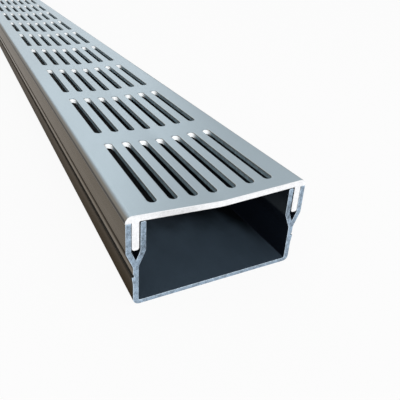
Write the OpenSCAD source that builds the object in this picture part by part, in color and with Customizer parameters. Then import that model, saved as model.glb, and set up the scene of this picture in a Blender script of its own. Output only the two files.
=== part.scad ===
// Slotted channel drain: an open extruded channel whose side walls fork at the
// top, and a dished, slotted grate whose two legs drop into the forks.
// X runs across, Y along the drain and Z up. The origin lies in the middle of
// the channel's underside.

/* [Channel] */
// Length of the channel and of its grate
drain_len = 1000; // [150:1:3000]
// Width over the two outer walls
channel_w = 65.4; // [50:0.1:120]
// Height of the outer walls above the underside of the floor
channel_h = 31; // [28:0.1:80]
// Thickness of the floor
floor_t = 1.5; // [1:0.1:3]
// Thickness of each side wall below its fork
stem_t = 1.9; // [1.2:0.1:3]
// Radius of the bottom corners, outside
foot_r = 2.2; // [1:0.1:4]
// Radius between the floor and the side walls, inside
floor_r = 0.6; // [0.2:0.1:2]

/* [Fork] */
// Thickness of the two walls of each fork
fork_t = 1.8; // [1.2:0.1:3]
// Depth of the upright part of the fork, below the top of the outer wall
fork_depth = 10.6; // [8:0.1:14]
// Height over which the fork opens out from the side wall
fork_rise = 5.6; // [4:0.1:8]
// Radius of the bends of the fork
bend_r = 1.6; // [0.4:0.1:2.5]
// Gap between the inner wall's top and the grate above it
inner_gap = 0.25; // [0.1:0.05:1]
// Radius of the inner wall's top edges
inner_top_r = 0.5; // [0.1:0.1:0.8]
// Radius of the outer wall's top edges
outer_top_r = 0.25; // [0.1:0.05:0.5]

/* [Ledge outside each side wall] */
// Drop from the fork down to the ledge
ledge_drop = 3.8; // [2:0.1:5]
// How far the ledge stands out
ledge_out = 0.4; // [0.1:0.1:1]
// Height over which the ledge tapers back to the side wall
ledge_h = 3; // [1:0.1:5]
// Depth of the groove above the ledge
groove_d = 0.35; // [0.1:0.05:0.8]
// Height of the groove above the ledge
groove_h = 0.7; // [0.3:0.1:1.2]

/* [Grate] */
// How far the grate's rims stand out past the outer walls
rim_out = 0.1; // [0:0.1:2]
// Thickness of the grate's rims, which rest on the outer walls
rim_t = 2.6; // [2.5:0.1:5]
// Radius of the rims' top edges
rim_r = 2.2; // [0.5:0.1:4]
// Radius of the rims' bottom edges
rim_foot_r = 0.2; // [0.1:0.1:0.5]
// Thickness of the slotted plate
plate_t = 2.2; // [1.5:0.1:3]
// Fall of the plate from its rims to its middle
dish = 1.6; // [0.4:0.1:3]
// Radius of the soft bend along the middle of the plate
valley_r = 40; // [20:1:250]
// Thickness of the legs
leg_t = 2.4; // [1.5:0.1:3.5]
// Radius of the leg tips
leg_tip_r = 0.9; // [0.2:0.05:1.5]
// Radius between a leg and the plate
leg_root_r = 0.4; // [0.2:0.1:1]
// Gap between a leg and the outer wall
leg_gap_out = 0.15; // [0.1:0.05:0.5]
// Gap between a leg and the inner wall
leg_gap_in = 0.4; // [0.1:0.05:1]
// Gap between a leg's tip and the bends below it
leg_gap_tip = 0.3; // [0.1:0.1:1]

/* [Slots] */
// Width of a slot
slot_w = 3; // [2:0.1:5]
// Length of a slot over its round ends
slot_len = 47.5; // [20:0.5:90]
// Distance between neighbouring slots, centre to centre
slot_pitch = 7.2; // [6:0.1:12]
// Width of the solid web between two rows of slots
row_web = 11.3; // [5:0.1:30]
// Least width of the solid strip between the slots and a leg
side_strip = 4; // [2:0.1:10]

/* [Hidden] */

// Degrees that one chord of a rounded corner spans, and the fewest chords
arc_step = 12;
arc_least = 4;
slot_facets = 48;
// Overrun of the cuts past the faces that they open
over = 1;

// Rounded edges, kept within the walls that carry them
edge_share = 0.45;
rim_edge_share = 0.92;
inner_top_edge_r = min(inner_top_r, fork_t * edge_share);
outer_top_edge_r = min(outer_top_r, fork_t * edge_share);
leg_tip_edge_r = min(leg_tip_r, leg_t * edge_share);
rim_edge_r = min(rim_r, (rim_t - rim_foot_r) * rim_edge_share);

// Upright slot of each fork and the walls around it
fork_slot_w = leg_gap_out + leg_t + leg_gap_in;
outer_x = channel_w / 2;
slot_out_x = outer_x - fork_t;
slot_in_x = slot_out_x - fork_slot_w;
inner_x = slot_in_x - fork_t;
fork_x = (slot_out_x + slot_in_x) / 2;
stem_out_x = fork_x + stem_t / 2;
stem_in_x = fork_x - stem_t / 2;

// Heights of the fork: the arms keep the walls' thickness on the slant
bend_z = channel_h - fork_depth;
fork_z = bend_z - fork_rise;
arm_lean = (outer_x - stem_out_x) / fork_rise;
arm_across = fork_t * sqrt(1 + arm_lean * arm_lean);
vee_half_w = outer_x - fork_x - arm_across;
vee_z = bend_z - vee_half_w / arm_lean;
slot_bend_z = bend_z + (fork_slot_w / 2 - vee_half_w) / arm_lean;
ledge_z = fork_z - ledge_drop;

// Grate: its top falls evenly from the rims to the middle
rim_x = outer_x + rim_out;
top_z = channel_h + rim_t;
leg_out_x = slot_out_x - leg_gap_out;
leg_in_x = leg_out_x - leg_t;
leg_tip_z = slot_bend_z + leg_gap_tip;
function grate_top(x) = top_z - dish * (1 - x / rim_x);
function grate_under(x) = grate_top(x) - plate_t;
inner_top_z = grate_under(inner_x) - inner_gap;

// Slots: whole rows along the drain, and an odd number of slots in a row
row_pitch = slot_len + row_web;
row_count = floor(drain_len / row_pitch);
slots_beside = floor((leg_in_x - side_strip - slot_w / 2) / slot_pitch);

function unit(v) = v / norm(v);
function spin(v, a) = [v.x * cos(a) - v.y * sin(a), v.x * sin(a) + v.y * cos(a)];

// The chord points of corner b, between a and c, rounded to radius r
function corner(a, b, c, r) =
    let (
        to_a = unit(a - b),
        to_c = unit(c - b),
        half = acos(to_a * to_c) / 2,
        turn = 180 - 2 * half,
        centre = b + unit(to_a + to_c) * r / sin(half),
        first = b + to_a * r / tan(half) - centre,
        way = cross(to_a, to_c) > 0 ? -1 : 1,
        chords = max(arc_least, ceil(turn / arc_step))
    )
    r == 0 ? [b] : [for (i = [0:chords]) centre + spin(first, way * turn * i / chords)];

// An outline from a list of corners, each given as [x, z, radius]
function outline(list) =
    let (
        count = len(list),
        at = [for (p = list) [p.x, p.y]]
    )
    [for (i = [0:count - 1])
        each corner(at[(i + count - 1) % count], at[i], at[(i + 1) % count], list[i].z)];

// The same corners on the other side of the centre line, in the order that goes on round
function flipped(list) = [for (i = [len(list) - 1:-1:0]) [-list[i].x, list[i].y, list[i].z]];

// One side of the channel, from the foot up over the fork and down to the floor
channel_side = [
    [stem_out_x, 0, foot_r],
    [stem_out_x, ledge_z - ledge_h, 0],
    [stem_out_x + ledge_out, ledge_z, 0],
    [stem_out_x - groove_d, ledge_z, 0],
    [stem_out_x - groove_d, ledge_z + groove_h, 0],
    [stem_out_x, ledge_z + groove_h + groove_d, 0],
    [stem_out_x, fork_z, bend_r],
    [outer_x, bend_z, bend_r],
    [outer_x, channel_h, outer_top_edge_r],
    [slot_out_x, channel_h, outer_top_edge_r],
    [slot_out_x, slot_bend_z, 0],
    [fork_x, vee_z, 0],
    [slot_in_x, slot_bend_z, 0],
    [slot_in_x, inner_top_z, inner_top_edge_r],
    [inner_x, inner_top_z, inner_top_edge_r],
    [inner_x, bend_z, bend_r],
    [stem_in_x, fork_z, bend_r],
    [stem_in_x, floor_t, floor_r]
];

// One side of the grate, from the rim down to the leg's tip and up to the plate
grate_side = [
    [leg_in_x, grate_under(leg_in_x), leg_root_r],
    [leg_in_x, leg_tip_z, leg_tip_edge_r],
    [leg_out_x, leg_tip_z, leg_tip_edge_r],
    [leg_out_x, channel_h, 0],
    [rim_x, channel_h, rim_foot_r],
    [rim_x, top_z, rim_edge_r]
];

// Sweeps an outline in X and Z along the whole drain
module along_drain() {
    rotate([90, 0, 0]) linear_extrude(height = drain_len, center = true) children();
}

module channel_body() {
    color("slategray") along_drain()
        polygon(outline(concat(channel_side, flipped(channel_side))));
}

module grate_section() {
    polygon(outline(concat(
        [[0, grate_under(0), valley_r + plate_t]],
        grate_side,
        [[0, grate_top(0), valley_r]],
        flipped(grate_side)
    )));
}

module slot_outline() {
    straight = slot_len - slot_w;
    square([slot_w, straight], center = true);
    for (end = [-1, 1]) translate([0, end * straight / 2]) circle(d = slot_w, $fn = slot_facets);
}

// One row of slots side by side, centred on the drain
module slot_row() {
    for (i = [-slots_beside:slots_beside])
        translate([i * slot_pitch, 0, grate_under(0) - over])
            linear_extrude(height = dish + plate_t + 2 * over) slot_outline();
}

module grate() {
    color("lightsteelblue") difference() {
        along_drain() grate_section();
        for (row = [0:row_count - 1])
            translate([0, (row - (row_count - 1) / 2) * row_pitch, 0]) slot_row();
    }
}

channel_body();
grate();
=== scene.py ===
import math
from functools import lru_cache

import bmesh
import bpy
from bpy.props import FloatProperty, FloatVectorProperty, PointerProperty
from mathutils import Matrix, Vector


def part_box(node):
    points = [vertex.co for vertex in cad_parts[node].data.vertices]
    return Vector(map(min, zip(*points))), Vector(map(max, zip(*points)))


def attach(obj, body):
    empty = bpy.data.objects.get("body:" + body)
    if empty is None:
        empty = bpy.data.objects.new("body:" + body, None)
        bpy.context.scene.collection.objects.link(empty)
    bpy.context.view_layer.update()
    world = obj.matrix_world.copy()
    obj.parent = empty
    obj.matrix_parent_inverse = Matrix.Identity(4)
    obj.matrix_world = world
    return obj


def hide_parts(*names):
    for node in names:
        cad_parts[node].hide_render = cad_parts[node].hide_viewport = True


bl_info = {
    "name": "Slotted Channel Drain",
    "version": (1, 0, 0),
    "blender": (4, 5, 0),
    "location": "3D View > Sidebar > Drain",
    "description": "Dresses an extruded drain channel and its punched grate, on a pale studio floor",
    "category": "Object",
}

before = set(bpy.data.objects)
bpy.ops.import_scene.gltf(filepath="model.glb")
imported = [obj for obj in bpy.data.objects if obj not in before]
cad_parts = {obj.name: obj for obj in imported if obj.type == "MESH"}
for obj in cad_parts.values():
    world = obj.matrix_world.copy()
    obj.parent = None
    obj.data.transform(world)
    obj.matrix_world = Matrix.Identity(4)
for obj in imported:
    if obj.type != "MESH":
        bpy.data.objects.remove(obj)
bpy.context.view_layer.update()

# One millimetre in the frame's metres, and the distance within which two points are one
MM = 0.001
SAME = 1e-6

# Decimals to which places in metres are rounded where they are compared
PLACES = 7

# Corners whose faces meet at more than this many degrees stay sharp
SHARP_FROM = 28

# Places on the channel's section, in millimetres from its middle and above its underside:
# about the middle of a side wall, a line in the leg's slot close to the inner wall, just above
# the foot of the fork, the bends where it turns upright, and the height below which a face
# that looks down is the underside's
WALL_X = 29.4
LEG_SLOT_X = 28.1
FORK_Z = 15
BEND_Z = 20.4
UNDERSIDE_Z = 0.5


def seen(red, green, blue):
    """A colour as a screen shows it, 0 to 255, as the light that a shader needs."""
    shares = (value / 255 for value in (red, green, blue))
    return [s / 12.92 if s <= 0.04045 else ((s + 0.055) / 1.055) ** 2.4 for s in shares]


def rgba(colour):
    return (*colour, 1.0)


def size(name, description, value):
    return FloatProperty(name=name, description=description, default=value, min=0, unit="LENGTH")


def tint(name, description, *screen):
    return FloatVectorProperty(
        name=name, description=description, default=seen(*screen), min=0, max=1, subtype="COLOR")


class DrainSizes(bpy.types.PropertyGroup):
    """Sizes of what the punch and the saw leave on the two extrusions"""
    slot_w: size("Slot width", "Width of a slot between its walls", 3.0 * MM)
    slot_len: size("Slot length", "Length of a slot over its round ends", 47.5 * MM)
    slot_pitch: size("Slot pitch", "Distance between neighbouring slots", 7.2 * MM)
    row_web: size("Row web", "Solid web between two rows of slots", 11.3 * MM)
    roll_r: size("Rolled edge", "Radius that the punch rolls over the slots' top edges", 0.3 * MM)
    land: size("Smooth land", "Depth of the smooth upper part of a slot's wall", 0.9 * MM)
    tear: size("Torn flare", "How far the rough lower part of a slot's wall opens out", 0.08 * MM)
    apron: size("Apron", "Ring of even mesh around each slot", 0.9 * MM)
    saw_edge: size("Sawn edge", "Chamfer along the edges of the sawn ends", 0.15 * MM)
    side_margin: size(
        "Side margin", "Least distance from the outermost slots' middle to the side", 8.0 * MM)
    rim_foot: size(
        "Rim foot", "Height above their seat up to which the rims have mill finish", 0.25 * MM)


class DrainColours(bpy.types.PropertyGroup):
    """Colours of the aluminium in its different states, with painted light and shade on it, and of the
    floor
    """
    satin: tint("Satin top", "Brushed and anodised top of the grate", 163, 177, 185)
    # Painted shade and painted reflection of dark surroundings on the grate's rims, over the upright
    # sides' mill finish
    rim_turn_shade: tint("Rim turn", "Rounded edge of the grate's rims", 130, 126, 118)
    rim_side_shade: tint("Rim side", "Upright side of the grate's rims", 72, 69, 65)
    grate_cut: tint("Grate cut", "Freshly sawn ends of the grate", 237, 238, 240)
    channel_cut: tint("Channel cut", "Sawn ends of the channel", 136, 154, 171)
    channel_burr: tint("Channel burr", "Bright edges of the channel's sawn ends", 178, 194, 208)
    # Painted shade and painted reflection of dark surroundings: the channel's outside is darker than
    # bare metal, its slant and foot darker still
    outside: tint("Channel outside", "Mill finish outside the channel, up at the fork", 114, 113, 110)
    fold_shade: tint("Fold", "Slant of the fork, seen from outside", 61, 59, 56)
    foot: tint("Foot", "Outside of the channel near its underside", 26, 25, 23)
    grazed: tint("Grazed metal", "What the outside reflects when looked at along it", 188, 180, 171)
    glanced: tint("Glanced satin", "What the satin top reflects when looked at along it", 200, 200, 200)
    inside: tint("Channel floor", "Dark finish on the floor inside the channel", 65, 79, 92)
    # Painted shade on the channel's floor away from the open ends and on its walls inside, and painted
    # light on the fork's inner walls near the open ends
    depths_shade: tint("Channel depths", "Painted_shade on the floor inside, away from the open ends", 9, 12, 16)
    wall_shade: tint("Inner walls", "Darker finish on the walls inside the channel", 20, 25, 34)
    inner_fork_lit: tint("Inner fork", "Inner walls of the fork, above its slant", 52, 58, 63)
    slot_side: tint("Slot side", "Smooth upper part of the slots' long walls", 147, 166, 175)
    # Painted light on the torn part of the slots' walls and painted shade at their foot; the ends are
    # pale bare metal with a painted highlight
    slot_torn: tint("Slot tear", "Torn lower part of the slots' long walls", 167, 187, 196)
    slot_foot_shade: tint("Slot foot", "Lowest edge of the slots' long walls", 24, 29, 29)
    slot_end_pale_and_highlight: tint("Slot end", "Round ends of the slots", 252, 254, 255)
    floor: tint("Floor", "Studio floor and backdrop", 254, 254, 254)


class Shell:
    """Points and faces of one piece, gathered ring by ring."""

    def __init__(self):
        self.points = []
        self.faces = []
        self.finishes = []

    def ring(self, points):
        first = len(self.points)
        self.points.extend(points)
        return list(range(first, len(self.points)))

    def face(self, ring, finish):
        self.faces.append(ring)
        self.finishes.append(finish)

    def band(self, low, high, finishes, closed=True):
        """Quads between two rings, in one finish or in one for each side of the ring."""
        count = len(low)
        for i in range(count if closed else count - 1):
            j = (i + 1) % count
            finish = finishes if isinstance(finishes, str) else finishes[i]
            self.face([low[i], low[j], high[j], high[i]], finish)

    def piece(self, name, materials):
        """The finished object: points merged, faces turned outwards, corners kept sharp."""
        mesh = bpy.data.meshes.new(name)
        mesh.from_pydata(self.points, [], self.faces)
        order = list(materials)
        for finish in order:
            mesh.materials.append(materials[finish])
        mesh.polygons.foreach_set("material_index", [order.index(f) for f in self.finishes])
        solid = bmesh.new()
        solid.from_mesh(mesh)
        bmesh.ops.remove_doubles(solid, verts=solid.verts, dist=SAME)
        bmesh.ops.recalc_face_normals(solid, faces=solid.faces)
        solid.to_mesh(mesh)
        solid.free()
        mesh.shade_smooth()
        mesh.set_sharp_from_angle(angle=math.radians(SHARP_FROM))
        made = bpy.data.objects.new(name, mesh)
        bpy.context.scene.collection.objects.link(made)
        even = made.modifiers.new("even_shading", "WEIGHTED_NORMAL")
        even.keep_sharp = True
        return made


def section_of(node):
    """Corners (x, z) of a node's shown end, in order round it, with the metal on the left."""
    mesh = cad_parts[node].data
    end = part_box(node)[0].y
    sides = set()
    for face in mesh.polygons:
        corners = [mesh.vertices[i].co for i in face.vertices]
        if all(abs(corner.y - end) < SAME for corner in corners):
            keys = [(round(corner.x, PLACES), round(corner.z, PLACES)) for corner in corners]
            for a, b in zip(keys, keys[1:] + keys[:1]):
                if (b, a) in sides:
                    sides.remove((b, a))
                else:
                    sides.add((a, b))
    following = dict(sides)
    corner = min(following)
    ordered = []
    while corner in following:
        ordered.append(corner)
        corner = following.pop(corner)
    if following:
        raise RuntimeError(f"the end of {node} isn't one closed outline")
    return ordered


def inset(section, depth):
    """The section drawn in by depth, corner by corner."""
    moved = []
    for i, corner in enumerate(section):
        here = Vector(corner)
        come = (here - Vector(section[i - 1])).normalized()
        leave = (Vector(section[(i + 1) % len(section)]) - here).normalized()
        mitre = (come.orthogonal() + leave.orthogonal()) / (1 + come.dot(leave))
        moved.append(tuple(here + mitre * depth))
    return moved


def at_station(section, y):
    return [(x, y, z) for x, z in section]


def saw_off(shell, section, y, inwards, edge):
    """The chamfer and the flat face of one sawn end; returns the ring that the sweep joins."""
    root = shell.ring(at_station(section, y + inwards * edge))
    face = shell.ring(at_station(inset(section, edge), y))
    shell.band(root, face, "burr")
    shell.face(face, "sawn")
    return root


class Value:
    """A shader socket that Python arithmetic works on."""

    def __init__(self, wiring, socket):
        self.wiring = wiring
        self.socket = socket

    def __add__(self, other):
        return self.wiring.math("ADD", self, other)

    def __sub__(self, other):
        return self.wiring.math("SUBTRACT", self, other)

    def __rsub__(self, other):
        return self.wiring.math("SUBTRACT", other, self)

    def __mul__(self, other):
        return self.wiring.math("MULTIPLY", self, other)

    def __abs__(self):
        return self.wiring.math("ABSOLUTE", self)

    __radd__ = __add__
    __rmul__ = __mul__


class Wiring:
    """The nodes of one material or world."""

    def __init__(self, owner):
        owner.use_nodes = True
        self.tree = owner.node_tree
        self.tree.nodes.clear()

    def node(self, kind, settings=None, values=None, output=0):
        """A node of that kind, its settings made first, then its sockets filled or linked."""
        made = self.tree.nodes.new("ShaderNode" + kind)
        for setting, value in (settings or {}).items():
            if setting == "stops":
                self.set_stops(made.color_ramp, value)
            else:
                setattr(made, setting, value)
        for socket, value in (values or {}).items():
            if isinstance(value, Value):
                self.tree.links.new(value.socket, made.inputs[socket])
            else:
                made.inputs[socket].default_value = value
        return Value(self, made.outputs[output]) if made.outputs else None

    def set_stops(self, ramp, stops):
        """Fills a ramp from pairs of a place, 0 to 1, and a colour."""
        for _ in stops[2:]:
            ramp.elements.new(0.5)
        for element, (place, colour) in zip(ramp.elements, stops):
            element.position = place
            element.color = rgba(colour)

    def math(self, operation, first, second=0.0):
        return self.node("Math", {"operation": operation}, {0: first, 1: second})

    def rise(self, value, low, high):
        """0 below low and 1 above high, with a soft step between them."""
        return self.node(
            "MapRange", {"interpolation_type": "SMOOTHSTEP"},
            {"Value": value, "From Min": low, "From Max": high})

    def mix(self, mask, low, high):
        """The colour or linked colour low where mask is 0 and high where it is 1."""
        return self.node("Mix", {"data_type": "RGBA"}, {0: mask, 6: low, 7: high}, output=2)

    def blend(self, mask, low, high):
        return self.mix(mask, rgba(low), rgba(high))

    def seen_rays(self):
        """1 for the rays of the camera and for those that metal reflects, 0 for the rest."""
        kinds = [self.node("LightPath", output=name)
                 for name in ("Is Camera Ray", "Is Glossy Ray", "Is Transmission Ray")]
        either = self.math("MAXIMUM", kinds[0], kinds[1])
        return self.math("MAXIMUM", either, kinds[2])

    def toned(self, colour, tone):
        """A colour made lighter or darker by a number that varies."""
        return self.node("VectorMath", {"operation": "SCALE"}, {0: colour, "Scale": tone})


class Finish(Wiring):
    """A metal finish, with patterns that lie on the object in millimetres."""

    def __init__(self, name):
        self.material = bpy.data.materials.new(name)
        super().__init__(self.material)
        self.place = self.node("TexCoord", output="Object")

    def axis(self, name):
        return self.node("SeparateXYZ", values={0: self.place}, output=name) * (1 / MM)

    def facing(self, name):
        """How far the surface faces along an axis, either way."""
        normal = self.node("TexCoord", output="Normal")
        return abs(self.node("SeparateXYZ", values={0: normal}, output=name))

    def noise(self, across, along, detail=2.0):
        """Noise about a half, with features so many millimetres across and along the drain."""
        spread = [1 / (extent * MM) for extent in (across, along, across)]
        place = self.node("VectorMath", {"operation": "MULTIPLY"}, {0: self.place, 1: spread})
        return self.node("TexNoise", values={"Vector": place, "Scale": 1.0, "Detail": detail}) - 0.5

    def saw_marks(self, spacing, radius):
        """Lines that a round blade leaves on an end, as far apart as spacing says."""
        x = self.axis("X")
        depth = self.axis("Z") + radius
        reach = self.math("SQRT", x * x + depth * depth)
        place = self.node("CombineXYZ", values={"X": reach * (1 / spacing), "Y": x * 0.01})
        return self.node("TexNoise", values={"Vector": place, "Scale": 1.0, "Detail": 3.0}) - 0.5

    def die_lines(self):
        """Lines that the die draws along the extrusion, and soft bands across it."""
        lines = 0.7 * self.noise(0.35, 260, 3.0) + 0.3 * self.noise(0.08, 60)
        return lines, self.noise(120, 14)

    def shaded(self, colour, roughness, metallic, height, relief, grazed=(1, 1, 1), gloss=0.5):
        """The material, with a bump of that relief in millimetres.

        grazed tints what the metal reflects when it is looked at along its surface, and gloss
        is the shader's specular level.
        """
        bump = self.node(
            "Bump", values={"Height": height, "Distance": relief * MM, "Strength": 1.0})
        shader = self.node("BsdfPrincipled", values={
            "Base Color": colour, "Roughness": roughness, "Metallic": metallic,
            "Specular Tint": rgba(grazed), "Specular IOR Level": gloss, "Normal": bump})
        self.node("OutputMaterial", values={"Surface": shader})
        return self.material


def satin_finish(colours, seat):
    """Brushed and anodised top of the grate; the rims' upright sides are darker mill finish, and
    painted shade darkens the rims the further they face sideways.

    seat is the height at which the rims rest on the channel, where painted shade makes them darkest.
    """
    satin = Finish("satin")
    hairlines = satin.noise(0.12, 9)
    grain = satin.noise(0.25, 0.25)
    cloud = satin.noise(40, 90)
    # How far the surface faces sideways, and its colour there, darkened by painted shade
    stops = [(0.33, colours.satin), (0.76, colours.rim_turn_shade), (0.9, colours.rim_turn_shade),
             (0.97, colours.rim_side_shade)]
    colour = satin.node("ValToRGB", {"stops": stops}, {0: satin.facing("X")})
    # Painted shade along the joint where the rims rest on the channel
    seat_shade = satin.rise(satin.axis("Z"), seat / MM + 0.9, seat / MM + 0.3)
    tone = 1 + 0.10 * hairlines + 0.16 * grain + 0.12 * cloud - 0.4 * seat_shade
    return satin.shaded(
        satin.toned(colour, tone), roughness=0.42 + 0.2 * hairlines, metallic=0.85,
        height=hairlines + grain, relief=0.008, grazed=colours.glanced)


def mill_finish(name, colour):
    """Bare extrusion with die lines along it and soft bands across it."""
    mill = Finish(name)
    die_lines, bands = mill.die_lines()
    return mill.shaded(
        mill.toned(colour, 1 + 0.3 * die_lines + 0.16 * bands),
        roughness=0.40 + 0.25 * die_lines, metallic=0.85, height=die_lines, relief=0.012)


def outside_finish(colours, height):
    """Bare extrusion with painted shade: darker towards its foot, at the ledge's edge, on the fork's
    slant and at its bend, with painted light on the strip of wall above the groove.

    height is the channel's whole height.
    """
    outside = Finish("outside")
    die_lines, bands = outside.die_lines()
    # The outside's colour is darkened as painted reflection of dark surroundings; the slant's and
    # foot's colours are painted shade
    lit = Vector(colours.outside)
    fold_shade = Vector(colours.fold_shade)
    foot = Vector(colours.foot)
    # Heights in millimetres, with the colour and the roughness there: foot, ledge and groove,
    # wall under the fork, slant, bend and upright wall; painted shade at the foot, ledge, groove,
    # slant and bend, and painted light on the wall under the fork
    zones = [
        (2.0, foot, 0.4), (6.0, 0.4 * foot + 0.6 * fold_shade, 0.4), (9.2, 1.2 * fold_shade, 0.4),
        (10.0, 0.6 * fold_shade, 0.5), (10.8, 0.5 * fold_shade, 0.5), (11.2, 1.3 * lit, 0.2),
        (12.0, 1.6 * lit, 0.2), (13.5, 1.5 * lit, 0.2), (14.5, 1.1 * fold_shade, 0.4),
        (20.0, fold_shade, 0.5), (20.5, 0.5 * fold_shade, 0.7), (21.0, 0.5 * fold_shade, 0.7),
        (21.4, lit, 0.28), (23.0, 1.1 * lit, 0.28), (30.0, 0.95 * lit, 0.28)]
    share = outside.axis("Z") * (MM / height)
    tints = [(z * MM / height, colour) for z, colour, _ in zones]
    grades = [(z * MM / height, (rough, rough, rough)) for z, _, rough in zones]
    colour = outside.node("ValToRGB", {"stops": tints}, {0: share})
    roughness = outside.node("ValToRGB", {"stops": grades}, {0: share})
    return outside.shaded(
        outside.toned(colour, 1 + 0.6 * die_lines + 0.16 * bands),
        roughness=roughness + 0.2 * die_lines, metallic=1.0, height=die_lines, relief=0.012,
        grazed=colours.grazed)


def inside_finish(colours, half):
    """Dark inside of the channel, smooth, with faint die lines; painted shade makes it darker on the
    walls and inwards, painted light paler near the open ends.

    half is half the channel's length.
    """
    inside = Finish("inside")
    die_lines = inside.noise(0.6, 200)
    dust = inside.rise(inside.noise(0.5, 0.9, 4.0), 0.18, 0.28)
    cloud = inside.noise(7, 12)
    # Painted shade: the walls inside are darker than the floor
    wall = inside.rise(inside.facing("X"), 0.3, 0.9)
    # Painted shade by the inner corners, and a pool of painted light at each open end that reaches
    # further in towards -x and has a ragged edge
    corner = inside.rise(abs(inside.axis("X")), 20, 28)
    reach = abs(inside.axis("Y")) - 0.3 * inside.axis("X") + 10 * cloud - 12 * corner
    # How far in from an open end the floor has painted light, and from where painted shade, in
    # millimetres
    pale = 22
    dark = 49
    end_light = inside.rise(reach, half / MM - dark, half / MM - pale)
    floor = inside.blend(end_light, colours.depths_shade, colours.inside)
    height = inside.axis("Z")
    # Painted light on the fork's inner walls near the open ends, fading into painted shade towards the
    # top
    above_bend = inside.rise(height, BEND_Z - 1, BEND_Z + 1)
    near_top = inside.rise(height, BEND_Z + 2, BEND_Z + 8)
    walls = inside.blend(
        (above_bend - 0.6 * near_top) * end_light, colours.wall_shade, colours.inner_fork_lit)
    tone = 1 + 0.14 * die_lines + 0.3 * cloud + 0.5 * dust
    return inside.shaded(
        inside.toned(inside.mix(wall, floor, walls), tone), roughness=0.5 + 0.2 * die_lines,
        metallic=0.3, height=die_lines, relief=0.01, grazed=(0.3, 0.3, 0.3), gloss=0.15)


def sawn_finish(name, colour, mottle, dull=0.0, shade=0.0):
    """Sawn end: lines of the blade and cloudy patches, as strong as mottle says.

    dull is the depth of one duller spot, left of the middle, and shade how much darker the
    forks' inner walls get towards their bends.
    """
    sawn = Finish(name)
    marks = sawn.saw_marks(spacing=0.35, radius=160)
    patches = sawn.rise(sawn.noise(1.3, 1.3), -0.15, 0.15) - 0.5
    grains = sawn.rise(sawn.noise(0.35, 0.35), -0.12, 0.12) - 0.5
    spot = sawn.rise(abs(sawn.axis("X") + 16), 12, 2)
    inner = sawn.rise(abs(sawn.axis("X")), LEG_SLOT_X + 0.2, LEG_SLOT_X - 0.2)
    height = sawn.axis("Z")
    low = inner * sawn.rise(height, 29, 21) * sawn.rise(height, FORK_Z - 1, FORK_Z + 1)
    tone = 1 + 0.14 * marks + mottle * (patches + grains) - dull * spot - shade * low
    return sawn.shaded(
        sawn.toned(colour, tone), roughness=0.45 + 0.3 * marks, metallic=0.6, height=marks,
        relief=0.02)


def punched_finish(name, colours, roughness, plate, row):
    """Slot wall: scored down the long sides, with painted shade at its foot and painted light on its
    torn part, and bright at the ends: pale bare metal with a painted highlight.

    plate holds the height of the plate's top at its middle, its rise across and its thickness,
    and row the pitch of the rows, an offset, and how far from its middle a slot is straight.
    """
    middle, slope, thickness = plate
    pitch, offset, straight = row
    punched = Finish(name)
    scores = 0.5 * punched.noise(6, 0.22, 3.0) + punched.noise(6, 0.8)
    depth = middle + slope * abs(punched.axis("X")) - punched.axis("Z")
    # Share of the plate's thickness, from its top, and the colour there: painted light on the torn
    # part, painted shade at the foot
    stops = [(0.1, colours.slot_side), (0.4, colours.slot_torn), (0.72, colours.slot_torn),
             (0.92, colours.slot_foot_shade)]
    side = punched.node("ValToRGB", {"stops": stops}, {0: depth * (1 / thickness)})
    along = punched.node(
        "Math", {"operation": "WRAP"}, {0: punched.axis("Y") + offset, 1: pitch / 2, 2: -pitch / 2})
    # Painted highlight on the far end of each slot, which faces the front, and on its walls just before
    # it
    far_highlight = punched.rise(along, straight - 2.5, straight + 0.5)
    end = punched.math("MAXIMUM", far_highlight, punched.rise(punched.facing("Y"), 0.1, 0.7))
    tone = 1 + 0.8 * scores * (1 - end)
    colour = punched.mix(end, side, rgba(colours.slot_end_pale_and_highlight))
    return punched.shaded(
        punched.toned(colour, tone), roughness=roughness + 0.2 * scores,
        metallic=0.8 - 0.8 * end, height=scores, relief=0.02)


def channel_side_of(a, b):
    """Whether a side of the channel's section is seen from outside or from inside."""
    x = (a[0] + b[0]) / 2
    z = (a[1] + b[1]) / 2
    outwards = (b[1] - a[1]) * math.copysign(1, x)
    low = z < UNDERSIDE_Z * MM and b[0] > a[0]
    return "outside" if low or (abs(x) > WALL_X * MM and outwards > -SAME) else "inside"


class DRAIN_OT_channel(bpy.types.Operator):
    """Builds the channel on its packed section, with chamfered saw cuts at both ends"""
    bl_idname = "drain.channel"
    bl_label = "Channel"

    def execute(self, context):
        sizes = context.scene.drain_sizes
        colours = context.scene.drain_colours
        section = section_of("channel_body")
        low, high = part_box("channel_body")
        shell = Shell()
        front = saw_off(shell, section, low.y, 1, sizes.saw_edge)
        back = saw_off(shell, section, high.y, -1, sizes.saw_edge)
        sides = [channel_side_of(a, b) for a, b in zip(section, section[1:] + section[:1])]
        shell.band(front, back, sides)
        channel = shell.piece("channel", {
            "outside": outside_finish(colours, high.z - low.z),
            "inside": inside_finish(colours, high.y),
            "sawn": sawn_finish("channel_cut", colours.channel_cut, mottle=0.4, shade=0.35),
            "burr": sawn_finish("channel_burr", colours.channel_burr, mottle=0.3),
        })
        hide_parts("channel_body")
        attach(channel, "channel")
        return {"FINISHED"}


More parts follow.
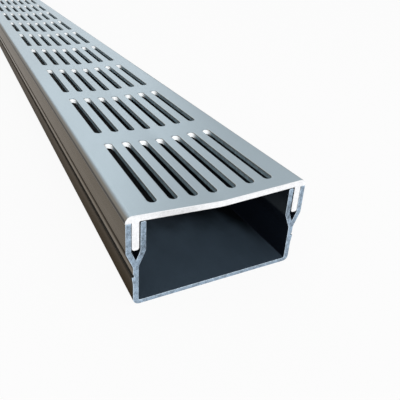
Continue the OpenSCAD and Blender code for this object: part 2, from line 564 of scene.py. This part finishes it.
class SlotMesher:
    """Rings of points around one slot, from its cell of the plate down through its wall.

    The steps are those round an end, up the cell's side beside it, between the two ends and
    over the rolled edge.
    """
    end_steps = 12
    corner_step = 3
    side_steps = 4
    roll_steps = 4

    def __init__(self, sizes):
        self.r = sizes.slot_w / 2
        self.straight = (sizes.slot_len - sizes.slot_w) / 2
        self.cell = sizes.slot_pitch / 2

    def side(self, x, way):
        """Points between the two ends on one long side, going along way."""
        steps = [2 * i / self.side_steps - 1 for i in range(1, self.side_steps)]
        return [(x, way * step * self.straight) for step in steps]

    def ring(self, grow):
        """The slot's outline, let out by grow."""
        r = self.r + grow
        turn = [math.pi * i / self.end_steps for i in range(self.end_steps + 1)]
        far = [(r * math.cos(a), self.straight + r * math.sin(a)) for a in turn]
        near = [(-x, -y) for x, y in far]
        return far + self.side(-r, -1) + near + self.side(r, 1)

    def roll(self, radius):
        """How far out and how deep each ring of the rolled edge lies, from outside inwards."""
        turn = [math.pi / 2 * i / self.roll_steps for i in range(self.roll_steps)]
        return [(radius * (1 - math.sin(a)), radius * (1 - math.cos(a))) for a in turn]

    def cell_end(self, y):
        """Three sides of the cell at its far end, which lies at y."""
        w = self.cell
        rise = [(w, self.straight + (y - self.straight) * i / self.corner_step)
                for i in range(self.corner_step)]
        across = self.end_steps - 2 * self.corner_step
        top = [(w - 2 * w * i / across, y) for i in range(across + 1)]
        return rise + top + [(-x, v) for x, v in reversed(rise)]

    def cell_ring(self, near_y, far_y):
        far = self.cell_end(far_y)
        near = [(-x, -y) for x, y in self.cell_end(-near_y)]
        return far + self.side(-self.cell, -1) + near + self.side(self.cell, 1)


class PlateHeights:
    """Top and underside of the dished plate, read from the grate's section."""

    def __init__(self, section):
        self.sides = [(a, b) for a, b in zip(section, section[1:] + section[:1]) if a[0] != b[0]]

    @lru_cache(maxsize=None)
    def at(self, x):
        crossed = [(a, b) for a, b in self.sides if min(a[0], b[0]) <= x <= max(a[0], b[0])]
        found = [a[1] + (x - a[0]) / (b[0] - a[0]) * (b[1] - a[1]) for a, b in crossed]
        return min(found), max(found)

    def plane(self, reach):
        """The top's height at its middle, its rise per millimetre across, and the thickness."""
        near = self.at(reach / 2)
        far = self.at(reach)
        slope = (far[1] - near[1]) / (reach / 2)
        return ((near[1] - slope * reach / 2) / MM, slope, (near[1] - near[0]) / MM)


def punch_slot(shell, mesher, heights, sizes, centre, near_y, far_y):
    """One cell of the plate with its slot: top, rolled edge, land, torn wall and underside."""
    def placed(outline, depth=None):
        """A ring at that depth below the plate's top, or on its underside."""
        points = []
        for x, y in outline:
            at_x = round(centre.x + x, PLACES)
            under, top = heights.at(at_x)
            points.append((at_x, centre.y + y, under if depth is None else top - depth))
        return shell.ring(points)

    cell = mesher.cell_ring(near_y - centre.y, far_y - centre.y)
    rings = [(placed(cell, 0.0), "satin"), (placed(mesher.ring(sizes.apron), 0.0), "satin")]
    rings += [(placed(mesher.ring(grow), depth), "satin") for grow, depth in mesher.roll(sizes.roll_r)]
    rings += [
        (placed(mesher.ring(0.0), sizes.roll_r), "land"),
        (placed(mesher.ring(0.0), sizes.land), "torn"),
        (placed(mesher.ring(sizes.tear)), "mill"),
        (placed(mesher.ring(sizes.apron)), "mill"),
        (placed(cell), None),
    ]
    for (low, finish), (high, _) in zip(rings, rings[1:]):
        shell.band(low, high, finish)


def side_chain(section, way, limit):
    """The part of the grate's section beyond limit on one side, in the section's order."""
    beyond = [way * x > limit + SAME for x, _ in section]
    start = next(i for i, held in enumerate(beyond) if held and not beyond[i - 1])
    return [section[(start + i) % len(section)] for i in range(sum(beyond))]


def grate_side_of(a, b, mill_top):
    """The finish of one side of the grate's section: mill finish up to that height."""
    return "satin" if (a[1] + b[1]) / 2 > mill_top else "mill"


def add_rim(shell, mesher, heights, chain, plate, stations, mill_top):
    """Rim and leg on one side, with a flat strip to the slotted plate above and below."""
    sides = [grate_side_of(a, b, mill_top) for a, b in zip(chain, chain[1:])]
    under, top = heights.at(round(plate, PLACES))
    strips = [(chain[0], under, "mill"), (chain[-1], top, "satin")]
    if plate < 0:
        strips = [(chain[-1], under, "mill"), (chain[0], top, "satin")]
    for row, (near, far) in enumerate(zip(stations, stations[1:])):
        first = shell.ring(at_station(chain, near))
        second = shell.ring(at_station(chain, far))
        shell.band(first, second, sides, closed=False)
        centre = (row - (len(stations) - 2) / 2) * (stations[2] - stations[1])
        cell = mesher.cell_ring(near - centre, far - centre)
        edge = sorted({round(centre + y, PLACES) for x, y in cell if x > mesher.cell - SAME})
        for (x, z), height, finish in strips:
            inner = [(plate, y, height) for y in edge]
            outer = [(x, far, z), (x, near, z)]
            shell.face(shell.ring(inner + outer), finish)


def saw_grate(shell, section, mesher, heights, plate, ends, edge):
    """Both sawn ends, on the section with the slotted plate's own points in it."""
    across = mesher.end_steps - 2 * mesher.corner_step
    count = round(plate / mesher.cell) * across
    xs = [round(-plate + 2 * plate * i / count, PLACES) for i in range(count + 1)]
    under = [(x, heights.at(x)[0]) for x in xs]
    over = [(x, heights.at(x)[1]) for x in reversed(xs)]
    outline = under + side_chain(section, 1, plate) + over + side_chain(section, -1, plate)
    saw_off(shell, outline, ends[0], 1, edge)
    saw_off(shell, outline, ends[1], -1, edge)


class DRAIN_OT_grate(bpy.types.Operator):
    """Builds the grate on its packed section, with rolled edges at every punched slot"""
    bl_idname = "drain.grate"
    bl_label = "Grate"

    def execute(self, context):
        sizes = context.scene.drain_sizes
        colours = context.scene.drain_colours
        section = section_of("grate")
        low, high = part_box("grate")
        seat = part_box("channel_body")[1].z
        mesher = SlotMesher(sizes)
        heights = PlateHeights(section)
        pitch = sizes.slot_len + sizes.row_web
        rows = int((high.y - low.y) / pitch + SAME)
        beside = int((high.x - sizes.side_margin) / sizes.slot_pitch)
        plate = (2 * beside + 1) * mesher.cell
        stations = [low.y + sizes.saw_edge]
        stations += [(row - rows / 2) * pitch for row in range(1, rows)]
        stations += [high.y - sizes.saw_edge]
        shell = Shell()
        for row in range(rows):
            for i in range(-beside, beside + 1):
                centre = Vector((i * sizes.slot_pitch, (row - (rows - 1) / 2) * pitch))
                punch_slot(shell, mesher, heights, sizes, centre, stations[row], stations[row + 1])
        for way in (-1, 1):
            chain = side_chain(section, way, plate)
            add_rim(shell, mesher, heights, chain, way * plate, stations, seat + sizes.rim_foot)
        saw_grate(shell, section, mesher, heights, plate, (low.y, high.y), sizes.saw_edge)
        plane = heights.plane(plate)
        row_plan = (pitch / MM, (1 - rows % 2) * pitch / 2 / MM, mesher.straight / MM)
        grate = shell.piece("grate_cover", {
            "satin": satin_finish(colours, seat),
            "mill": mill_finish("grate_mill", colours.rim_side_shade),
            "land": punched_finish("slot_land", colours, 0.5, plane, row_plan),
            "torn": punched_finish("slot_torn", colours, 0.7, plane, row_plan),
            "sawn": sawn_finish("grate_cut", colours.grate_cut, mottle=0.08, dull=0.2),
            "burr": sawn_finish("grate_burr", colours.grate_cut, mottle=0.05),
        })
        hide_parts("grate")
        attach(grate, "grate")
        return {"FINISHED"}


# The photograph's camera, from the middle of the shown end's underside
CAMERA_AT = Vector((-0.0686, -0.1051, 0.1055))
CAMERA_TURN = (65.01, -2.19, -25.07)
CAMERA_LENS = 41.01
CAMERA_SHIFT = (0.0576, -0.1141)

# How far the floor reaches, how white it is where it is looked at, and the even light's level
FLOOR_REACH = 12.0
FLOOR_WHITE = 0.92
EVEN_LIGHT = 0.45


def shown_end():
    low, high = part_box("channel_body")
    return Vector(((low.x + high.x) / 2, low.y, low.z))


def place_camera(scene):
    camera = bpy.data.objects.new("camera", bpy.data.cameras.new("camera"))
    camera.location = shown_end() + CAMERA_AT
    camera.rotation_euler = [math.radians(angle) for angle in CAMERA_TURN]
    camera.data.lens = CAMERA_LENS
    camera.data.shift_x, camera.data.shift_y = CAMERA_SHIFT
    camera.data.clip_start = 5 * MM
    camera.data.clip_end = 2 * FLOOR_REACH
    scene.collection.objects.link(camera)
    scene.camera = camera


def place_lamp(scene, name, offset, reach, power, mirrored):
    """A square soft lamp at an offset from the shown end, aimed at it.

    mirrored says whether metal reflects it as well as being lit by it.
    """
    data = bpy.data.lights.new(name, "AREA")
    data.size = reach
    data.energy = power
    lamp = bpy.data.objects.new(name, data)
    lamp.visible_glossy = mirrored
    lamp.location = shown_end() + Vector(offset)
    lamp.rotation_euler = Vector(offset).to_track_quat("Z", "Y").to_euler()
    scene.collection.objects.link(lamp)


def lay_floor(scene, colour, whiteness):
    """A pale matt floor that keeps only part of the shade on it where it is looked at."""
    mesh = bpy.data.meshes.new("floor")
    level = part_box("channel_body")[0].z
    corners = [(-1, -1), (1, -1), (1, 1), (-1, 1)]
    points = [(x * FLOOR_REACH, y * FLOOR_REACH, level) for x, y in corners]
    mesh.from_pydata(points, [], [(0, 1, 2, 3)])
    floor = Wiring(bpy.data.materials.new("floor"))
    matt = floor.node("BsdfDiffuse", values={"Color": rgba(colour)})
    white = floor.node("Emission", values={"Color": rgba(colour), "Strength": 1.0})
    mixed = floor.node("MixShader", values={0: floor.seen_rays() * whiteness, 1: matt, 2: white})
    floor.node("OutputMaterial", values={"Surface": mixed})
    mesh.materials.append(bpy.data.materials["floor"])
    ground = bpy.data.objects.new("floor", mesh)
    scene.collection.objects.link(ground)


def light_world(scene, level):
    """Even light from all round, which the camera and the metal see as white."""
    world = bpy.data.worlds.new("studio")
    scene.world = world
    wiring = Wiring(world)
    strength = level + (1 - level) * wiring.seen_rays()
    light = wiring.node("Background", values={"Color": (1, 1, 1, 1), "Strength": strength})
    wiring.node("OutputWorld", values={"Surface": light})


class DRAIN_OT_stage(bpy.types.Operator):
    """Lays the floor, lights it softly and sets the camera as in the photograph"""
    bl_idname = "drain.stage"
    bl_label = "Stage"

    def execute(self, context):
        scene = context.scene
        scene.view_settings.view_transform = "Standard"
        lay_floor(scene, scene.drain_colours.floor, FLOOR_WHITE)
        light_world(scene, EVEN_LIGHT)
        place_lamp(scene, "front", (-0.6, -3.4, 1.3), reach=1.6, power=124, mirrored=False)
        place_lamp(scene, "back", (0.4, 2.6, 1.1), reach=1.4, power=8, mirrored=True)
        place_camera(scene)
        return {"FINISHED"}


class DRAIN_PT_panel(bpy.types.Panel):
    """Sizes, colours and pieces of the drain"""
    bl_idname = "DRAIN_PT_panel"
    bl_label = "Channel Drain"
    bl_space_type = "VIEW_3D"
    bl_region_type = "UI"
    bl_category = "Drain"

    def draw(self, context):
        for group in (context.scene.drain_sizes, context.scene.drain_colours):
            box = self.layout.box()
            for name in group.__annotations__:
                box.prop(group, name)
        for operator in (DRAIN_OT_channel, DRAIN_OT_grate, DRAIN_OT_stage):
            self.layout.operator(operator.bl_idname)


CLASSES = (DrainSizes, DrainColours, DRAIN_OT_channel, DRAIN_OT_grate, DRAIN_OT_stage, DRAIN_PT_panel)


def register():
    for cls in CLASSES:
        bpy.utils.register_class(cls)
    bpy.types.Scene.drain_sizes = PointerProperty(type=DrainSizes)
    bpy.types.Scene.drain_colours = PointerProperty(type=DrainColours)


def unregister():
    del bpy.types.Scene.drain_colours
    del bpy.types.Scene.drain_sizes
    for cls in reversed(CLASSES):
        bpy.utils.unregister_class(cls)


def main():
    register()
    bpy.ops.drain.stage()
    bpy.ops.drain.channel()
    bpy.ops.drain.grate()


if __name__ == "__main__":
    main()
